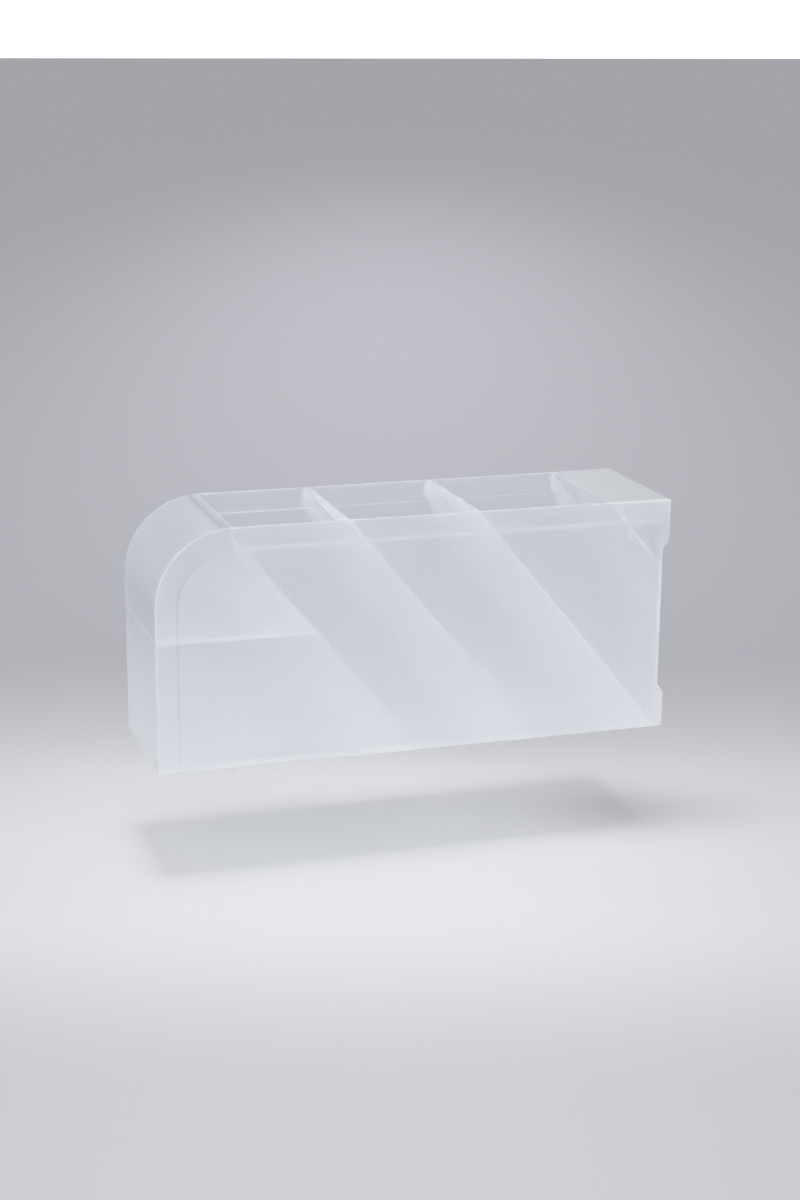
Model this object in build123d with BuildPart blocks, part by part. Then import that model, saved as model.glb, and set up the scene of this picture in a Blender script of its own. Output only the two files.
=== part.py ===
from build123d import *
import os
from math import atan2, cos, sin

# Free-standing desk organizer in frosted plastic, in millimetres.
# X runs from the rounded left end to the right end, -Y is the front and Z is up.
# The origin is in the middle of the base.

# Overall size
length = 210.0
depth = 61.0
height = 95.5
corner_radius = 30.5

# Side panels: a margin one wall thick, then a field that is thicker on the inside
rim_wall = 1.5
field_step = 0.6
margin = 8.5
edge_round = 0.4

# Right end: a head and a foot stand out past a shallow recess
end_recess = 2.6
head_height = 16.7
foot_height = 14.7
recess_slope = 3.5
end_round = 0.8

# Level and upright walls
skin_wall = 1.5
end_wall = 1.5
top_wall = 1.5
floor_wall = 1.5
floor_lift = 2.3
shelf_wall = 1.5
shelf_height = 51.4

# Slanted dividers: nose and closed top are measured to the right edge of a divider's top,
# each mouth is a step wider than the one on its left, and the last full divider's foot
# stands this far from the right end's wall
divider_wall = 1.4
nose_length = 27.7
closed_top = 24.9
pocket_count = 3
mouth_growth = 3.4
foot_gap = 1.5

# Places that several pieces share
left = -length / 2
right = length / 2
inner_width = depth - 2 * rim_wall
floor_top = floor_lift + floor_wall
shelf_top = shelf_height + shelf_wall
end_wall_outer = right - end_recess
end_wall_inner = end_wall_outer - end_wall
corner_centre = (left + corner_radius, height - corner_radius)

# Right top edges of the dividers, and the lean that they share
mean_mouth = (length - nose_length - closed_top) / pocket_count
divider_edges = [left + nose_length]
for pocket in range(pocket_count):
    mouth = mean_mouth + mouth_growth * (pocket - (pocket_count - 1) / 2)
    divider_edges.append(divider_edges[-1] + mouth)
last_full_run = end_wall_inner - foot_gap - divider_edges[-2]
divider_lean = atan2(last_full_run, height - floor_top)

# Inside faces of the panels' margins, both looking towards the front
front_inside = Plane.XZ.offset(inner_width / 2)
back_inside = Plane.XZ.offset(-inner_width / 2)


def upper_face(edge_x):
    """Plane of a divider's upper face, which looks to the right and up."""
    return Plane(
        origin=(edge_x, 0, height),
        x_dir=(0, 1, 0),
        z_dir=(cos(divider_lean), 0, sin(divider_lean)),
    )


def lower_face(edge_x):
    """Plane of the same divider's underside, facing the same way as its upper face."""
    return upper_face(edge_x).offset(-divider_wall)


def left_end_line(inset, bottom):
    """Left edge and corner arc, set in from the outer outline."""
    Line((left + inset, bottom), (left + inset, corner_centre[1]))
    CenterArc(corner_centre, corner_radius - inset, 180, -90)


# Outline of a side panel
with BuildSketch() as side_outline:
    with BuildLine():
        left_end_line(0, 0)
        Polyline(
            (corner_centre[0], height),
            (right, height),
            (right, height - head_height),
            (end_wall_outer, height - head_height - recess_slope),
            (end_wall_outer, foot_height + recess_slope),
            (right, foot_height),
            (right, 0),
            (left, 0),
        )
    make_face()
    fillet(side_outline.vertices().group_by(Axis.X)[-1], end_round)

# Outline of the panel's thicker field, inside the margin
with BuildSketch() as field_outline:
    with BuildLine():
        left_end_line(margin, floor_top)
        Polyline(
            (corner_centre[0], height - margin),
            (end_wall_inner, height - margin),
            (end_wall_inner, floor_top),
            (left + margin, floor_top),
        )
    make_face()

# Outline of the space over the floor that the dividers cross
with BuildSketch() as divided_space:
    with BuildLine():
        left_end_line(0, floor_top)
        Polyline(
            (corner_centre[0], height),
            (end_wall_inner, height),
            (end_wall_inner, floor_top),
            (left, floor_top),
        )
    make_face()

# Front and back panels
with BuildPart() as front_panel:
    with BuildSketch(front_inside):
        add(side_outline.sketch_local)
    extrude(amount=rim_wall)
    fillet(front_panel.faces().sort_by(Axis.Y)[0].edges(), edge_round)
    with BuildSketch(front_inside):
        add(field_outline.sketch_local)
    extrude(amount=-field_step)
front_panel.part.label = "front_panel"

with BuildPart() as back_panel:
    mirror(front_panel.part, about=Plane.XZ)
back_panel.part.label = "back_panel"

# Level floor, from the left end's wall to the right end's
with BuildPart() as floor_plate:
    with BuildSketch(back_inside):
        with Locations((left + skin_wall, floor_lift)):
            Rectangle(end_wall_inner - left - skin_wall, floor_wall, align=(Align.MIN, Align.MIN))
    extrude(amount=inner_width)
floor_plate.part.label = "floor_plate"

# Left end below the shelf
with BuildPart() as left_wall:
    with BuildSketch(back_inside):
        with Locations((left, 0)):
            Rectangle(skin_wall, shelf_height, align=(Align.MIN, Align.MIN))
    extrude(amount=inner_width)
left_wall.part.label = "left_wall"

# Nose: one bent wall from the shelf, round the corner, to the first divider
with BuildPart() as curved_cover:
    with BuildSketch(back_inside):
        with BuildLine():
            left_end_line(0, shelf_top)
            Line((corner_centre[0], height), (right, height))
            offset(amount=skin_wall, side=Side.RIGHT)
        make_face()
    extrude(amount=inner_width)
    split(bisect_by=lower_face(divider_edges[0]), keep=Keep.BOTTOM)
curved_cover.part.label = "curved_cover"

# Shelf of the nose, fitted between the panels' thicker fields
with BuildPart() as shelf_plate:
    with BuildSketch(back_inside):
        with Locations((left, shelf_height)):
            Rectangle(length, shelf_wall, align=(Align.MIN, Align.MIN))
    extrude(amount=inner_width)
    split(bisect_by=lower_face(divider_edges[0]), keep=Keep.BOTTOM)
    add((front_panel.part, back_panel.part), mode=Mode.SUBTRACT)
shelf_plate.part.label = "shelf_plate"

# Slanted dividers: the last one is short, because it meets the right end's wall above the floor
dividers = []
for number, edge_x in enumerate(divider_edges, start=1):
    with BuildPart() as divider:
        with BuildSketch(back_inside):
            add(divided_space.sketch_local)
        extrude(amount=inner_width)
        split(bisect_by=lower_face(edge_x), keep=Keep.TOP)
        split(bisect_by=upper_face(edge_x), keep=Keep.BOTTOM)
        add((front_panel.part, back_panel.part), mode=Mode.SUBTRACT)
    divider.part.label = f"divider_{number}"
    dividers.append(divider.part)

# Top of the closed wedge, from the last divider to a lip past the right end's wall
with BuildPart() as top_plate:
    with BuildSketch(back_inside):
        with Locations((right, height)):
            Rectangle(length, top_wall, align=(Align.MAX, Align.MAX))
    extrude(amount=inner_width)
    split(bisect_by=upper_face(divider_edges[-1]), keep=Keep.TOP)
    lip_edge = top_plate.edges().filter_by(Axis.Y).group_by(Axis.X)[-1].sort_by(Axis.Z)[-1]
    fillet(lip_edge, end_round)
top_plate.part.label = "top_plate"

# Upright wall of the right end, set back in the recess
with BuildPart() as right_end_wall:
    with BuildSketch(back_inside):
        with Locations((end_wall_inner, 0)):
            Rectangle(end_wall, height - top_wall, align=(Align.MIN, Align.MIN))
    extrude(amount=inner_width)
right_end_wall.part.label = "right_end_wall"

os.makedirs("parts", exist_ok=True)
pieces = [
    front_panel.part,
    back_panel.part,
    floor_plate.part,
    left_wall.part,
    curved_cover.part,
    shelf_plate.part,
    *dividers,
    top_plate.part,
    right_end_wall.part,
]
for piece in pieces:
    export_step(piece, f"parts/{piece.label}.step")
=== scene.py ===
"""A desk organizer in frosted polypropylene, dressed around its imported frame, in metres."""
from math import acos, atan2, cos, hypot, pi, radians, sin, tan

import bmesh
import bpy
from mathutils import Matrix, Vector


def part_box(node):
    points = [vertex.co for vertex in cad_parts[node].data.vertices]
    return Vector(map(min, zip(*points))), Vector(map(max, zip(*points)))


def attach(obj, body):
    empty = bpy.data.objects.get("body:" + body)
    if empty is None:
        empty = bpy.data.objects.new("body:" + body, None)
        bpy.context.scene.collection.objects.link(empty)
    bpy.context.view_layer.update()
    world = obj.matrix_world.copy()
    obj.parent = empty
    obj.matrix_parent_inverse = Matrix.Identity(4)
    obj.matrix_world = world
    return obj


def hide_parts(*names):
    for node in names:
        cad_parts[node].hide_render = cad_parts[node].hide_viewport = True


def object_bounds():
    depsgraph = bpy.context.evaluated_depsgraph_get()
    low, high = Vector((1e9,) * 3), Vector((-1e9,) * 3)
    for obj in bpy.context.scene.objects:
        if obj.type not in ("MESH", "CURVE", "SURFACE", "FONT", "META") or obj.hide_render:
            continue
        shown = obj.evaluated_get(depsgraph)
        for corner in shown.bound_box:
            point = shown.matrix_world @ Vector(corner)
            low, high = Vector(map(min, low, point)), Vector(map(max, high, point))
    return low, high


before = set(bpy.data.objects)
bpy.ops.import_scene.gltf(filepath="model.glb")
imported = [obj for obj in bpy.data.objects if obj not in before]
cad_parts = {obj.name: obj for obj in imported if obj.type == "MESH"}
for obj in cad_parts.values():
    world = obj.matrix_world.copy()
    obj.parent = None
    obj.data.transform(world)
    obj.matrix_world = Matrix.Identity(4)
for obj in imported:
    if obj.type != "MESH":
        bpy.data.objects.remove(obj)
cad_low, cad_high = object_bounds()

MM = 0.001
BODY = "root"

# Sizes of the moulding
WALL = 1.5 * MM
DIVIDER_WALL = 1.4 * MM
CORNER_RADIUS = 30.5 * MM
LIP_RADIUS = 0.8 * MM
MARGIN = 8.5 * MM
HEAD_HEIGHT = 16.7 * MM
FOOT_HEIGHT = 14.7 * MM

# The hair's breadth between walls that meet, how close two corners are to be one, and how much
# two faces turn to be one
SEAM = 0.02 * MM
SAME_PLACE = SEAM / 10
FLAT_ANGLE = radians(1)

# The rounding of free edges and of edges at joints, and the facets of an arc
EDGE_ROUND = 0.14 * MM
JOINT_ROUND = 0.04 * MM
EDGE_ANGLE = radians(35)
EDGE_STEPS = 2
ARC_STEPS = 40

# Places read from the frame
LEFT, RIGHT = cad_low.x, cad_high.x
HEIGHT = cad_high.z
FRONT = cad_low.y
CORNER = Vector((LEFT + CORNER_RADIUS, HEIGHT - CORNER_RADIUS))
RIM_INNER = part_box("floor_plate")[1].y
FIELD_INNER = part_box("back_panel")[0].y
FIELD_TOP = HEIGHT - MARGIN
FLOOR_LOW, FLOOR_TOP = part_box("floor_plate")[0].z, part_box("floor_plate")[1].z
SHELF_LOW, SHELF_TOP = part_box("shelf_plate")[0].z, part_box("shelf_plate")[1].z
END_INNER, END_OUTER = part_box("right_end_wall")[0].x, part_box("right_end_wall")[1].x


def divider_lean():
    """The angle from upright that the dividers share, from the box of a full one and its wall."""
    low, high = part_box("divider_2")
    run, rise = high.x - low.x, high.z - low.z
    return acos(DIVIDER_WALL / hypot(run, rise)) - atan2(rise, run)


LEAN = divider_lean()
LEVEL_THICKNESS = DIVIDER_WALL / cos(LEAN)

# The dividers' numbers, and those of the two whose tops stand free on both sides
DIVIDERS = (1, 2, 3, 4)
FREE_DIVIDERS = (2, 3)


def top_edge(number):
    """Where a divider's upper face meets the top of the organizer."""
    low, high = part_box(f"divider_{number}")
    if low.z - FLOOR_TOP < MARGIN:
        return high.x - (HEIGHT - low.z) * tan(LEAN)
    return low.x + LEVEL_THICKNESS


class Link:
    """An output socket of a node tree, on which Python arithmetic works."""

    def __init__(self, tree, socket=None):
        self.tree = tree
        self.socket = socket

    def node(self, kind, settings=None, sockets=None):
        """Adds a node: its settings first, then its sockets' values or links. Gives its first output."""
        made = self.tree.nodes.new(kind)
        for name, value in (settings or {}).items():
            setattr(made, name, value)
        for key, value in (sockets or {}).items():
            target = made.inputs[key] if isinstance(key, int) else in_use(made.inputs, key)
            if isinstance(value, Link):
                self.tree.links.new(value.socket, target)
            else:
                target.default_value = value
        return Link(self.tree, in_use(made.outputs))

    def out(self, name):
        """Another output of the same node."""
        return Link(self.tree, in_use(self.socket.node.outputs, name))

    def math(self, operation, *values):
        """A Math node on these values or links, in order."""
        return self.node("ShaderNodeMath", {"operation": operation}, dict(enumerate(values)))

    def __add__(self, other):
        return self.math("ADD", self, other)

    def __sub__(self, other):
        return self.math("SUBTRACT", self, other)

    def __rsub__(self, other):
        return self.math("SUBTRACT", other, self)

    def __mul__(self, other):
        return self.math("MULTIPLY", self, other)

    def __truediv__(self, other):
        return self.math("DIVIDE", self, other)

    def __pow__(self, other):
        return self.math("POWER", self, other)

    def __gt__(self, other):
        return self.math("GREATER_THAN", self, other)

    def __lt__(self, other):
        return self.math("LESS_THAN", self, other)

    def __abs__(self):
        return self.math("ABSOLUTE", self)

    def __neg__(self):
        return self.math("MULTIPLY", self, -1.0)

    __radd__ = __add__
    __rmul__ = __mul__

    def above(self, other):
        """The larger of this and another value."""
        return self.math("MAXIMUM", self, other)

    def below(self, other):
        """The smaller of this and another value."""
        return self.math("MINIMUM", self, other)

    def exp(self):
        """The number e to the power of this."""
        return self.math("EXPONENT", self)

    def rise(self, low, high):
        """0 up to low and 1 past high, with a smooth rise between them."""
        ends = {"Value": self, "From Min": low, "From Max": high}
        return self.node("ShaderNodeMapRange", {"interpolation_type": "SMOOTHSTEP"}, ends)

    def axis(self, name):
        """One of a vector's X, Y and Z."""
        return self.node("ShaderNodeSeparateXYZ", None, {0: self}).out(name)

    def vector(self, x=0.0, y=0.0, z=0.0):
        """A vector put together from values or links."""
        return self.node("ShaderNodeCombineXYZ", None, {"X": x, "Y": y, "Z": z})

    def blend(self, first, second):
        """A colour this far from the first to the second."""
        return self.node("ShaderNodeMix", {"data_type": "RGBA"}, {"Factor": self, "A": first, "B": second})

    def mix(self, first, second):
        """A shader this far from the first to the second."""
        return self.node("ShaderNodeMixShader", None, {0: self, 1: first, 2: second})


def in_use(sockets, name=None):
    """The first socket in use, or the one in use with this name."""
    shown = (socket for socket in sockets if socket.enabled and name in (None, socket.name))
    return next(shown, None)


def new_material(name):
    """An empty material and a link from which its nodes are added."""
    material = bpy.data.materials.new(name)
    material.use_nodes = True
    material.node_tree.nodes.clear()
    return material, Link(material.node_tree)


def finish_material(shader):
    """Joins a finished shader to its tree's output."""
    shader.node("ShaderNodeOutputMaterial", None, {"Surface": shader})


# Frosted polypropylene: clear and milky, with painted light and shade in it: darker and lighter copies of
# its tint, painted shade along a step, and milk and bright diffuse shares that paint light in places.
# Its frost drifts in soft clouds, and a fine grain lies over its skin
PLASTIC = (0.963, 0.984, 1.0, 1.0)
# Darker copies of the tint paint shade on the cover and the left wall; a lighter copy paints light on the
# lid
SHADED_COVER_PLASTIC = (0.905, 0.94, 0.963, 1.0)
SHADED_NOSE_PLASTIC = (0.925, 0.955, 0.975, 1.0)
LIT_LID_PLASTIC = (0.975, 0.985, 1.0, 1.0)
# Painted shade in the tint along the upright side of the step round a panel's field
STEP_SHADE_PLASTIC = (0.80, 0.83, 0.87, 1.0)
MILK = (0.962, 0.960, 0.975, 1.0)
HIGHLIGHT_MILK = (0.97, 0.975, 0.985, 1.0)
PLASTIC_IOR = 1.3
FROST = 0.5
FROST_DRIFT = 0.06
THROUGH_SHARE = 0.3
DIVIDER_THROUGH_SHARE = 0.65
GRAIN_SCALE = 1600
GRAIN_DETAIL = 1.0
GRAIN_DEPTH = 0.05 * MM
GRAIN_STRENGTH = 0.08
CLOUD_SCALE = 28
CLOUD_DETAIL = 2.0
CLOUD_MIDDLE = 0.5
MILK_DRIFT = 0.2


def noise(place, scale, detail):
    """Soft noise on a piece's own coordinates."""
    return place.node("ShaderNodeTexNoise", None, {"Vector": place, "Scale": scale, "Detail": detail})


def frosted(name, tint, milkiness, brightness, painted_shade=None, through_share=THROUGH_SHARE):
    """Plastic that lets soft light through; the functions of place and facing vary it and paint light and
    shade into it.
    """
    material, start = new_material(name)
    place = start.node("ShaderNodeTexCoord").out("Object")
    facing = start.node("ShaderNodeNewGeometry").out("Normal")
    cloud = noise(place, CLOUD_SCALE, CLOUD_DETAIL)
    drift = cloud - CLOUD_MIDDLE
    grain = noise(place, GRAIN_SCALE, GRAIN_DETAIL)
    relief = {"Height": grain, "Strength": GRAIN_STRENGTH, "Distance": GRAIN_DEPTH}
    skin = start.node("ShaderNodeBump", None, relief)
    clear = {
        "Base Color": painted_shade(place, facing).blend(tint, STEP_SHADE_PLASTIC) if painted_shade else tint,
        "Roughness": FROST + drift * FROST_DRIFT,
        "IOR": PLASTIC_IOR,
        "Transmission Weight": 1.0,
        "Normal": skin,
    }
    body = start.node("ShaderNodeBsdfPrincipled", None, clear)
    near = start.node("ShaderNodeBsdfDiffuse", None, {"Color": MILK, "Normal": skin})
    through = start.node("ShaderNodeBsdfTranslucent", None, {"Color": MILK, "Normal": skin})
    milk = start.node("ShaderNodeMixShader", None, {0: through_share, 1: near, 2: through})
    share = milkiness(place, facing) * (1.0 + drift * MILK_DRIFT)
    # The bright diffuse share where highlights are painted in
    edge = start.node("ShaderNodeBsdfDiffuse", None, {"Color": HIGHLIGHT_MILK, "Normal": skin})
    finish_material(brightness(place, facing).mix(share.mix(body, milk), edge))
    return material


def band(distance, half_width, softness):
    """1 within a half width of a line and 0 past it, with soft sides."""
    return 1.0 - abs(distance).rise(half_width - softness, half_width + softness)


# Milk shares of the plain walls
PANEL_MILK = 0.06
COVER_MILK = 0.02
LEVEL_MILK = 0.1
DIVIDER_MILK = 0.5
# Less milk on a divider's level top paints shade on it
DIMMED_TOP_MILK = 0.25

# More milk towards the base, painted light that brightens the lower walls, even below a level, and its
# factor on the outer cross walls
BASE_LIGHT_SHARE = 0.32
BASE_FADE = 1.7
BASE_DEPTH = 10 * MM
CROSS_FACTOR = 1.5

# Painted light, as more milk: at the nose's top, over the shelf, in the closed wedge and under each divider
PAINTED_CROWN_LIGHT = 0.2
CROWN_DEPTH = 5 * MM
SHELF_GLOW = 0.18
WEDGE_GLOW = 0.09
WEDGE_CROWN = 0.12
WEDGE_CROWN_DEPTH = 14 * MM
UNDER_GLOW = 0.1
UNDER_WIDTH = 31 * MM
UNDER_CORE = 0.35
UNDER_TOP_LOSS = 0.6
UNDER_TOP_DEPTH = 24 * MM

# How squarely a face looks along an axis where a share that follows its facing starts and is full
RIM_FACING = (0.4, 0.95)
END_FACING = (0.3, 0.8)
TOP_FACING = (0.75, 0.95)
SIDE_FACING = 0.5

# Painted highlights: bright shares of edges, which fade below the shelf, and of the cross walls' ends
RIM_SHARE = 0.22
RIM_FADE = 0.65
CREST_SHARE = 0.1
CREST_DEPTH = 0.6 * MM
DIVIDER_END_SHARE = 0.2
SHELF_END_SHARE = 0.3

# Painted highlight lines where the cross walls run into the panels
END_LINE_SHARE = 0.06
SHELF_LINE_SHARE = 0.22
DIVIDER_LINE_SHARES = (0.04, 0.11, 0.15, 0.24)
DIVIDER_LINE_HALF = 0.45 * MM
JOINT_SOFTNESS = 0.25 * MM

# The step round a panel's field: painted highlights on the far panel's ledge and on the lines seen in
# front, and painted shade on its upright side
LEDGE_SHARE = 0.33
LEDGE_FADE = 80 * MM
LEDGE_LINE_SHARE = 0.1
LEDGE_LINE_HALF = 0.8 * MM
STEP_LINE_SHARE = 0.06
STEP_HALF = 0.35 * MM
STEP_SOFTNESS = 0.2 * MM
STEP_LINE_INSET = MARGIN + 3 * STEP_HALF
STEP_SHADE_HALF = 0.5 * MM
STEP_SHADE_SOFTNESS = 0.35 * MM

# The light under a divider on the far panel's inside
GLEAM_SHARE = 0.33
GLEAM_WIDTH = 10.8 * MM
GLEAM_GROWTH = 5 * MM
GLEAM_CORE = 0.67


def slid_up(place):
    """Where a line with the dividers' lean through a place meets the organizer's top."""
    return place.axis("X") - (HEIGHT - place.axis("Z")) * tan(LEAN)


def painted_light_at_base(place, facing):
    """Milk that deepens towards the base: painted light that brightens the lower walls."""
    return (1.0 - place.axis("Z").above(BASE_DEPTH) / HEIGHT) ** BASE_FADE * BASE_LIGHT_SHARE


def joint_lines(place):
    """Painted highlight lines where the cross walls run into a side panel."""
    x, z = place.axis("X"), place.axis("Z")
    slid = slid_up(place)
    past_floor = z > FLOOR_LOW
    upright = band(x - (END_INNER + END_OUTER) / 2, WALL / 2, JOINT_SOFTNESS)
    recessed = (z > FOOT_HEIGHT) * (z < HEIGHT - HEAD_HEIGHT)
    shelf = band(z - (SHELF_LOW + SHELF_TOP) / 2, WALL / 2, JOINT_SOFTNESS)
    lines = upright * recessed * END_LINE_SHARE
    lines = lines.above(shelf * (slid < top_edge(1)) * SHELF_LINE_SHARE)
    for number, share in enumerate(DIVIDER_LINE_SHARES, start=1):
        middle = top_edge(number) - LEVEL_THICKNESS / 2
        slant = band(slid - middle, DIVIDER_LINE_HALF, JOINT_SOFTNESS)
        lines = lines.above(slant * (x < END_INNER) * past_floor * share)
    return lines


def inset(place):
    """How far a place lies inside the organizer's rounded outline, and how steep the outline is there."""
    across = (CORNER.x - place.axis("X")).above(0.0)
    up = (place.axis("Z") - CORNER.y).above(0.0)
    reach = (across ** 2.0 + up ** 2.0) ** 0.5
    return CORNER_RADIUS - reach, across / reach.above(SEAM)


def outward(place, facing):
    """1 on a side panel's outer face."""
    return facing.axis("Y") * place.axis("Y") > 0.0


def step_lines(place, facing):
    """The light that the step round a panel's field catches, most on the far panel's ledge."""
    depth, steepness = inset(place)
    x, z = place.axis("X"), place.axis("Z")
    level_part = (x > CORNER.x) * (x < END_INNER)
    ledge = band(z - FIELD_TOP, STEP_HALF, STEP_SOFTNESS) * level_part
    behind = band(z - FIELD_TOP, LEDGE_LINE_HALF, LEDGE_LINE_HALF) * level_part * outward(place, facing)
    fading = ((CORNER.x - x) / LEDGE_FADE).exp()
    upright = band(depth - STEP_LINE_INSET, STEP_HALF, STEP_SOFTNESS) * steepness
    near = (behind * LEDGE_LINE_SHARE).above(upright * (z > FLOOR_TOP) * STEP_LINE_SHARE)
    return near.above(ledge * fading * (place.axis("Y") > 0.0) * LEDGE_SHARE)


def zones_under(place, numbers, width, core):
    """1 close under each of these dividers, then a fade that ends a width away from it."""
    slid = slid_up(place)
    zones = None
    for number in numbers:
        gap = top_edge(number) - LEVEL_THICKNESS - slid
        zone = (gap > 0.0) * (1.0 - (gap / width).rise(core, 1.0))
        zones = zone if zones is None else zones.above(zone)
    return zones


def gleam(place, facing):
    """The light that gathers on the far panel's inside under a divider, in a zone that widens downwards."""
    down = (place.axis("Z") - HEIGHT) / GLEAM_GROWTH
    width = ((1.0 - down.exp()) * GLEAM_WIDTH).above(SEAM)
    inside = (facing.axis("Y") < -SIDE_FACING) * (place.axis("Y") > 0.0)
    return zones_under(place, DIVIDERS[1:], width, GLEAM_CORE) * inside * GLEAM_SHARE


def panel_milk_and_light(place, facing):
    """A side panel's milk, with painted light that gathers over the shelf, in the wedge and under each
    divider.
    """
    up = (place.axis("Z") - SHELF_TOP) / (HEIGHT - SHELF_TOP)
    over_shelf = (up > 0.0) * (slid_up(place) < top_edge(1))
    glow = (1.0 - up).above(0.0) ** BASE_FADE * over_shelf * SHELF_GLOW
    crown = place.axis("Z").rise(HEIGHT - WEDGE_CROWN_DEPTH, HEIGHT)
    wedge = (slid_up(place) > top_edge(DIVIDERS[-1])) * (WEDGE_GLOW + crown * WEDGE_CROWN)
    under = zones_under(place, DIVIDERS, UNDER_WIDTH, UNDER_CORE) * outward(place, facing)
    under = under * (1.0 - place.axis("Z").rise(HEIGHT - UNDER_TOP_DEPTH, HEIGHT) * UNDER_TOP_LOSS)
    return PANEL_MILK + painted_light_at_base(place, facing) + glow + wedge + under * UNDER_GLOW


def panel_brightness(place, facing):
    """Painted highlights on a side panel: its bright rim, its step, the lines of the walls behind it, and
    the far one's gleam.
    """
    rim = 1.0 - abs(facing.axis("Y")).rise(*RIM_FACING)
    lit = 1.0 - (1.0 - place.axis("Z").rise(SHELF_TOP, HEIGHT)) * RIM_FADE
    depth = inset(place)[0].below(RIGHT - place.axis("X"))
    crest = 1.0 - depth.rise(CREST_DEPTH / 2, CREST_DEPTH)
    doubled_at_back = 1.0 + (place.axis("Y") > 0.0)
    edges = (rim * RIM_SHARE).above(crest * doubled_at_back * CREST_SHARE) * lit
    return edges.above(joint_lines(place)).above(step_lines(place, facing)).above(gleam(place, facing))


def painted_step_shade(place, facing):
    """Painted shade: 1 along the upright side of the step round a side panel's field."""
    depth, steepness = inset(place)
    above_floor = place.axis("Z") > FLOOR_TOP
    return band(depth - MARGIN, STEP_SHADE_HALF, STEP_SHADE_SOFTNESS) * steepness * above_floor


def cover_milk_and_light(place, facing):
    """An outer cross wall's milk, with the painted light towards the base."""
    return COVER_MILK + painted_light_at_base(place, facing) * CROSS_FACTOR


def nose_milk_and_light(place, facing):
    """The nose's milk, with painted light as more of it where the nose bends level under the light."""
    crown = place.axis("Z").rise(HEIGHT - CROWN_DEPTH, HEIGHT)
    return cover_milk_and_light(place, facing) + crown * PAINTED_CROWN_LIGHT


def level_milk(place, facing):
    """The floor's and the shelf's milk."""
    return LEVEL_MILK


def divider_milk(place, facing):
    """A divider's milk, with less of it on the level top: painted shade that dims the lit top."""
    return facing.axis("Z").rise(*TOP_FACING) * (DIMMED_TOP_MILK - DIVIDER_MILK) + DIVIDER_MILK


def end_brightness(place, facing):
    """A cross wall's ends on the panels, with a painted highlight."""
    return abs(facing.axis("Y")).rise(*END_FACING) * RIM_SHARE


def level_brightness(place, facing):
    """Painted highlights on the ends of the floor and the shelf, also where the shelf shows on the left
    end.
    """
    leftward = facing.axis("X") < -SIDE_FACING
    return end_brightness(place, facing).above(leftward * SHELF_END_SHARE)


def divider_brightness(place, facing):
    """A divider's ends on the panels, with a painted highlight."""
    return abs(facing.axis("Y")).rise(*END_FACING) * DIVIDER_END_SHARE


# Node trees that make the walls
def start_tree(name, inputs):
    """An empty geometry tree with these named inputs, and a link to them."""
    tree = bpy.data.node_groups.new(name, "GeometryNodeTree")
    for label, kind in inputs.items():
        tree.interface.new_socket(label, in_out="INPUT", socket_type=kind)
    tree.interface.new_socket("Wall", in_out="OUTPUT", socket_type="NodeSocketGeometry")
    return Link(tree).node("NodeGroupInput")


def finish_tree(wall, given):
    """Ends a tree with a real mesh in its own material."""
    real = wall.node("GeometryNodeRealizeInstances", None, {"Geometry": wall})
    dressed = wall.node(
        "GeometryNodeSetMaterial", None, {"Geometry": real, "Material": given.out("Plastic")}
    )
    wall.node("NodeGroupOutput", None, {"Wall": dressed})
    return wall.tree


def moved(wall, offset):
    """The wall with each corner moved by a vector."""
    return wall.node("GeometryNodeSetPosition", None, {"Geometry": wall, "Offset": offset})


def divider_tree():
    """A slanted divider: a block with a wider rim at its top, leant over and stopped at the end wall."""
    given = start_tree(
        "slanted divider",
        {
            "Edge": "NodeSocketFloat",
            "Top": "NodeSocketFloat",
            "Field Top": "NodeSocketFloat",
            "Foot": "NodeSocketFloat",
            "Lean": "NodeSocketFloat",
            "Thickness": "NodeSocketFloat",
            "Half Depth": "NodeSocketFloat",
            "Step": "NodeSocketFloat",
            "Limit": "NodeSocketFloat",
            "Plastic": "NodeSocketMaterial",
        },
    )
    facing = given.node("GeometryNodeInputNormal")
    height = given.out("Field Top") - given.out("Foot")
    size = given.vector(given.out("Thickness"), given.out("Half Depth") * 2, height)
    block = given.node("GeometryNodeMeshCube", None, {"Size": size})
    centre = given.vector(
        given.out("Edge") - given.out("Thickness") / 2, 0.0, given.out("Foot") + height / 2
    )
    block = moved(block, centre)
    upward = facing.axis("Z") > SIDE_FACING
    rim = given.node(
        "GeometryNodeExtrudeMesh",
        None,
        {
            "Mesh": block,
            "Selection": upward,
            "Offset Scale": given.out("Top") - given.out("Field Top"),
            "Individual": False,
        },
    )
    ends = rim.out("Side") * (abs(facing.axis("Y")) > SIDE_FACING)
    wall = given.node(
        "GeometryNodeExtrudeMesh",
        None,
        {"Mesh": rim, "Selection": ends, "Offset Scale": given.out("Step"), "Individual": False},
    )
    slope = given.math("TANGENT", given.out("Lean"))
    place = given.node("GeometryNodeInputPosition")
    wall = moved(wall, given.vector((given.out("Top") - place.axis("Z")) * slope))
    past = (place.axis("X") - given.out("Limit")).above(0.0)
    wall = moved(wall, given.vector(-past, 0.0, past / slope))
    return finish_tree(wall, given)


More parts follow.
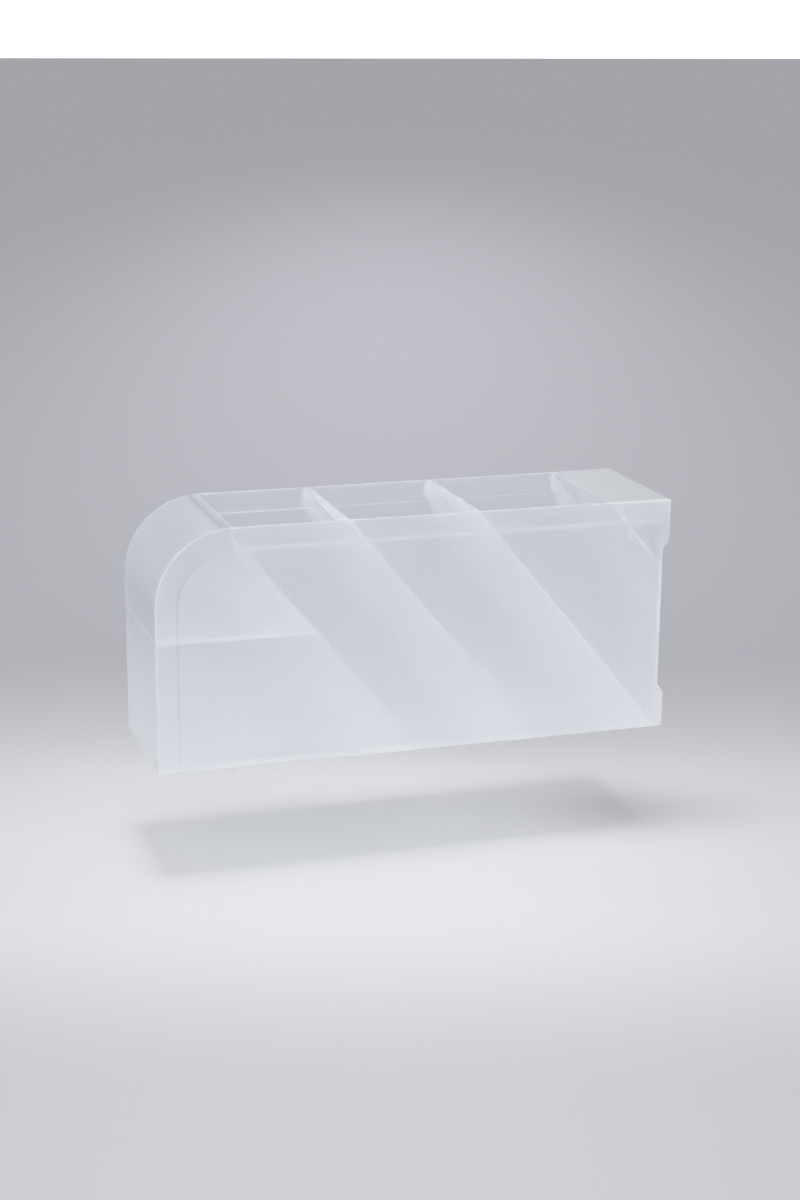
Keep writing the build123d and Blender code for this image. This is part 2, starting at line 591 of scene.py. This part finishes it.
def outline_tree():
    """A wall from its outline: corners bent to their radii, filled, and pushed across the depth."""
    given = start_tree(
        "wall from outline",
        {
            "Outline": "NodeSocketGeometry",
            "Arc Steps": "NodeSocketInt",
            "Half Depth": "NodeSocketFloat",
            "Plastic": "NodeSocketMaterial",
        },
    )
    radius = given.node("GeometryNodeInputNamedAttribute", {"data_type": "FLOAT"}, {"Name": "bend"})
    line = given.node("GeometryNodeMeshToCurve", None, {"Mesh": given.out("Outline")})
    bent = given.node(
        "GeometryNodeFilletCurve",
        {"mode": "POLY"},
        {"Curve": line, "Count": given.out("Arc Steps"), "Radius": radius, "Limit Radius": False},
    )
    sheet = given.node("GeometryNodeFillCurve", {"mode": "NGONS"}, {"Curve": bent})
    upright = given.node(
        "GeometryNodeTransform", None, {"Geometry": sheet, "Rotation": (pi / 2, 0.0, 0.0)}
    )
    back = moved(upright, given.vector(0.0, given.out("Half Depth")))
    pushed = given.node(
        "GeometryNodeExtrudeMesh",
        None,
        {"Mesh": back, "Offset Scale": given.out("Half Depth") * 2, "Individual": False},
    )
    cap = given.node("GeometryNodeFlipFaces", None, {"Mesh": back})
    joined = given.node("GeometryNodeJoinGeometry")
    for part in (pushed, cap):
        given.tree.links.new(part.socket, joined.socket.node.inputs[0])
    closed = given.node("GeometryNodeMergeByDistance", None, {"Geometry": joined, "Distance": SAME_PLACE})
    return finish_tree(closed, given)


def outline_mesh(corners):
    """A closed outline from (x, z, bend radius) corners, flat in X and Y for the tree to stand up."""
    mesh = bpy.data.meshes.new("outline")
    count = len(corners)
    points = [(x, z, 0.0) for x, z, bend in corners]
    mesh.from_pydata(points, [(n, (n + 1) % count) for n in range(count)], [])
    bend = mesh.attributes.new("bend", "FLOAT", "POINT")
    for number, corner in enumerate(corners):
        bend.data[number].value = corner[2]
    return mesh


def make_wall(name, node, tree, values, start=None, edge_round=JOINT_ROUND):
    """A wall as a tree makes it, with rounded edges, in the place of a node of the frame."""
    shell = bpy.data.objects.new(name, start or bpy.data.meshes.new(name))
    bpy.context.collection.objects.link(shell)
    if tree:
        shape = shell.modifiers.new("shape", "NODES")
        shape.node_group = tree
        for item in tree.interface.items_tree:
            if item.in_out == "INPUT" and item.name in values:
                shape[item.identifier] = values[item.name]
    rounding = shell.modifiers.new("rounding", "BEVEL")
    rounding.width = edge_round
    rounding.segments = EDGE_STEPS
    rounding.limit_method = "ANGLE"
    rounding.angle_limit = EDGE_ANGLE
    rounding.use_clamp_overlap = True
    evaluated = shell.evaluated_get(bpy.context.evaluated_depsgraph_get())
    mesh = bpy.data.meshes.new_from_object(evaluated)
    shell.modifiers.clear()
    shell.data = mesh
    close_mesh(mesh)
    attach(shell, BODY)
    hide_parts(node)


def close_mesh(mesh):
    """Merges a mesh's doubled corners and turns its faces outwards."""
    work = bmesh.new()
    work.from_mesh(mesh)
    bmesh.ops.remove_doubles(work, verts=work.verts, dist=SAME_PLACE)
    bmesh.ops.recalc_face_normals(work, faces=work.faces)
    work.to_mesh(mesh)
    work.free()


def box_outline(low, high):
    """A rectangle's corners, drawn in from its neighbours by the seam."""
    left, right = low.x + SEAM, high.x - SEAM
    bottom, top = low.z + SEAM, high.z - SEAM
    return [(left, bottom, 0.0), (right, bottom, 0.0), (right, top, 0.0), (left, top, 0.0)]


def nose_outline():
    """The bent wall of the nose, from the shelf round the corner to the first divider's underside."""
    foot = SHELF_TOP + SEAM
    under = HEIGHT - WALL
    end = top_edge(1) - LEVEL_THICKNESS - SEAM
    return [
        (LEFT, foot, 0.0),
        (LEFT + WALL, foot, 0.0),
        (LEFT + WALL, under, CORNER_RADIUS - WALL),
        (end + WALL * tan(LEAN), under, 0.0),
        (end, HEIGHT, 0.0),
        (LEFT, HEIGHT, CORNER_RADIUS),
    ]


def lid_outline():
    """The top of the closed wedge, from the last divider to the rounded lip."""
    under = HEIGHT - WALL
    start = top_edge(DIVIDERS[-1]) + SEAM
    return [
        (start, HEIGHT, 0.0),
        (start + WALL * tan(LEAN), under, 0.0),
        (RIGHT, under, 0.0),
        (RIGHT, HEIGHT, LIP_RADIUS),
    ]


def copied_wall(node):
    """A copy of a node's mesh with its triangles merged, drawn in from its neighbours by the seam."""
    low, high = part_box(node)
    centre = (low + high) / 2
    work = bmesh.new()
    work.from_mesh(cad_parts[node].data)
    bmesh.ops.remove_doubles(work, verts=work.verts, dist=SAME_PLACE)
    bmesh.ops.dissolve_limit(work, angle_limit=FLAT_ANGLE, verts=work.verts, edges=work.edges)
    for corner in work.verts:
        for axis in range(3):
            inward = SEAM if corner.co[axis] < centre[axis] else -SEAM
            corner.co[axis] += inward
    mesh = bpy.data.meshes.new(node)
    work.to_mesh(mesh)
    work.free()
    return mesh


panel_plastic = frosted("frosted_panel", PLASTIC, panel_milk_and_light, panel_brightness, painted_step_shade)
nose_plastic = frosted("frosted_nose", SHADED_NOSE_PLASTIC, cover_milk_and_light, end_brightness)
lid_plastic = frosted("frosted_lid", LIT_LID_PLASTIC, cover_milk_and_light, end_brightness)
end_plastic = frosted("frosted_end", PLASTIC, cover_milk_and_light, end_brightness)
cover_plastic = frosted("frosted_cover", SHADED_COVER_PLASTIC, nose_milk_and_light, end_brightness)
level_plastic = frosted("frosted_level", PLASTIC, level_milk, level_brightness)
divider_plastic = frosted(
    "frosted_divider", PLASTIC, divider_milk, divider_brightness, through_share=DIVIDER_THROUGH_SHARE
)

for name in ("front_panel", "back_panel"):
    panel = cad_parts[name]
    panel.data.materials.clear()
    panel.data.materials.append(panel_plastic)

slanted = divider_tree()
for number in DIVIDERS:
    node = f"divider_{number}"
    sizes = {
        "Edge": top_edge(number),
        "Top": HEIGHT,
        "Field Top": FIELD_TOP,
        "Foot": FLOOR_TOP + SEAM,
        "Lean": LEAN,
        "Thickness": LEVEL_THICKNESS,
        "Half Depth": FIELD_INNER - SEAM,
        "Step": RIM_INNER - FIELD_INNER,
        "Limit": END_INNER - SEAM,
        "Plastic": divider_plastic,
    }
    edge_round = EDGE_ROUND if number in FREE_DIVIDERS else JOINT_ROUND
    make_wall(f"slanted_{node}", node, slanted, sizes, edge_round=edge_round)

outlined = outline_tree()
outlines = {
    "curved_cover": (nose_outline(), cover_plastic),
    "left_wall": (box_outline(*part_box("left_wall")), nose_plastic),
    "floor_plate": (box_outline(*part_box("floor_plate")), level_plastic),
    "top_plate": (lid_outline(), lid_plastic),
    "right_end_wall": (box_outline(*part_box("right_end_wall")), end_plastic),
}
for node, (corners, plastic) in outlines.items():
    sizes = {"Arc Steps": ARC_STEPS, "Half Depth": RIM_INNER - SEAM, "Plastic": plastic}
    make_wall(f"moulded_{node}", node, outlined, sizes, outline_mesh(corners))

shelf_mesh = copied_wall("shelf_plate")
shelf_mesh.materials.append(level_plastic)
make_wall("moulded_shelf", "shelf_plate", None, {}, shelf_mesh)

# The way the photograph looks, turned from the Y axis towards the X axis
HEADING = radians(17.85)

# The pale sheet under the organizer
DROP = 43 * MM
REACH = 12.0
SHEET_TONE = (0.360, 0.356, 0.385, 1.0)

# Its painted pools of light, placed along the heading and across it: a far pool, a near one with painted
# shade towards the viewer, a bright one under the organizer and a painted shadow beside it
ASIDE = -13 * MM
FAR_TONE = (0.519, 0.514, 0.553, 1.0)
FAR_CENTRE = 1280 * MM
FAR_ALONG = 1600 * MM
FAR_ACROSS = 360 * MM
NEAR_TONE = (0.785, 0.787, 0.796, 1.0)
NEAR_START = -35 * MM
NEAR_END = 255 * MM
NEAR_ACROSS = 298 * MM
FRONT_TONE = (0.613, 0.619, 0.630, 1.0)
FRONT_START = -227 * MM
FRONT_END = -89 * MM
BRIGHT_TONE = (0.835, 0.835, 0.840, 1.0)
BRIGHT_CENTRE = 50 * MM
BRIGHT_ALONG = 40 * MM
BRIGHT_ACROSS = 100 * MM
SHADE_TONE = (0.400, 0.396, 0.420, 1.0)
SHADE_CENTRE = 20 * MM
SHADE_ALONG = 25 * MM
SHADE_ASIDE = 118 * MM
SHADE_ACROSS = 45 * MM
SHADE_DEPTH = 0.50


def bell(*distances):
    """1 at the middle and falling away as a bell does, for distances as shares of its reach."""
    squares = [distance ** 2.0 for distance in distances]
    total = sum(squares[1:], squares[0])
    return (-total).exp()


def floor_material():
    """Pale matte sheet with painted pools of light and shade and a painted shadow."""
    material, start = new_material("pale_sheet")
    place = start.node("ShaderNodeTexCoord").out("Object")
    x, y = place.axis("X"), place.axis("Y")
    along = x * sin(HEADING) + y * cos(HEADING)
    across = x * cos(HEADING) - y * sin(HEADING) - ASIDE
    far = bell((along - FAR_CENTRE) / FAR_ALONG, across / FAR_ACROSS)
    near = (1.0 - along.rise(NEAR_START, NEAR_END)) * bell(across / NEAR_ACROSS)
    front = along.rise(FRONT_START, FRONT_END).blend(FRONT_TONE, NEAR_TONE)
    # Painted light and shadow: bright is a pool of light under the organizer, shade a shadow beside it
    bright = bell((along - BRIGHT_CENTRE) / BRIGHT_ALONG, across / BRIGHT_ACROSS)
    shade = bell((along - SHADE_CENTRE) / SHADE_ALONG, (across - SHADE_ASIDE) / SHADE_ACROSS)
    tone = far.blend(SHEET_TONE, FAR_TONE)
    tone = near.blend(tone, front)
    tone = bright.blend(tone, BRIGHT_TONE)
    tone = (shade * SHADE_DEPTH).blend(tone, SHADE_TONE)
    finish_material(start.node("ShaderNodeBsdfDiffuse", None, {"Color": tone}))
    return material


def make_floor():
    """The sheet itself, wide enough to reach the picture's top."""
    mesh = bpy.data.meshes.new("pale_sheet")
    corners = [(x * REACH, y * REACH, -DROP) for x, y in ((-1, -1), (1, -1), (1, 1), (-1, 1))]
    mesh.from_pydata(corners, [], [(0, 1, 2, 3)])
    mesh.materials.append(floor_material())
    sheet = bpy.data.objects.new("pale_sheet", mesh)
    bpy.context.collection.objects.link(sheet)


make_floor()

# Light: a pale room that is bright low down and behind the camera, and a lamp straight above
ROOM_COLOUR = (0.97, 0.98, 1.0, 1.0)
ROOM_LEVEL = 0.55
RING_LEVEL = 0.8
SCREEN_LEVEL = 1.6
LAMP_ENERGY = 0.55
LAMP_SPREAD = radians(14)


def make_light():
    """The room's light and one broad lamp straight above."""
    world = bpy.data.worlds.new("studio")
    world.use_nodes = True
    world.node_tree.nodes.clear()
    start = Link(world.node_tree)
    way = start.node("ShaderNodeTexCoord").out("Generated")
    behind = -(way.axis("X") * sin(HEADING) + way.axis("Y") * cos(HEADING))
    low = (1.0 - way.axis("Z").above(0.0)) ** 2.0
    strength = ROOM_LEVEL + low * RING_LEVEL + behind.above(0.0) ** 2.0 * SCREEN_LEVEL
    room = start.node("ShaderNodeBackground", None, {"Color": ROOM_COLOUR, "Strength": strength})
    start.node("ShaderNodeOutputWorld", None, {"Surface": room})
    bpy.context.scene.world = world
    lamp = bpy.data.lights.new("soft_top", "SUN")
    lamp.energy = LAMP_ENERGY
    lamp.angle = LAMP_SPREAD
    top = bpy.data.objects.new("soft_top", lamp)
    bpy.context.collection.objects.link(top)


make_light()

# The camera stands where the photograph was taken, measured from the foot of the front's left edge
CAMERA_PLACE = Vector((-147.7, -758.1, 285.7)) * MM
CAMERA_DIP = radians(15.66)
CAMERA_ROLL = radians(-0.51)
SENSOR_MM = 36
LENS_MM = 63.94


def make_camera():
    """A camera turned to its heading, dipped and rolled."""
    ahead = Vector((
        sin(HEADING) * cos(CAMERA_DIP),
        cos(HEADING) * cos(CAMERA_DIP),
        -sin(CAMERA_DIP),
    ))
    level = Vector((cos(HEADING), -sin(HEADING), 0))
    down = ahead.cross(level)
    right = cos(CAMERA_ROLL) * level + sin(CAMERA_ROLL) * down
    below = -sin(CAMERA_ROLL) * level + cos(CAMERA_ROLL) * down
    turn = Matrix((right, -below, -ahead)).transposed()
    lens = bpy.data.cameras.new("camera")
    lens.sensor_width = SENSOR_MM
    lens.lens = LENS_MM
    camera = bpy.data.objects.new("camera", lens)
    place = Vector((LEFT, FRONT, 0)) + CAMERA_PLACE
    camera.matrix_world = Matrix.Translation(place) @ turn.to_4x4()
    bpy.context.collection.objects.link(camera)
    bpy.context.scene.camera = camera


make_camera()
bpy.context.scene.view_settings.view_transform = "Standard"
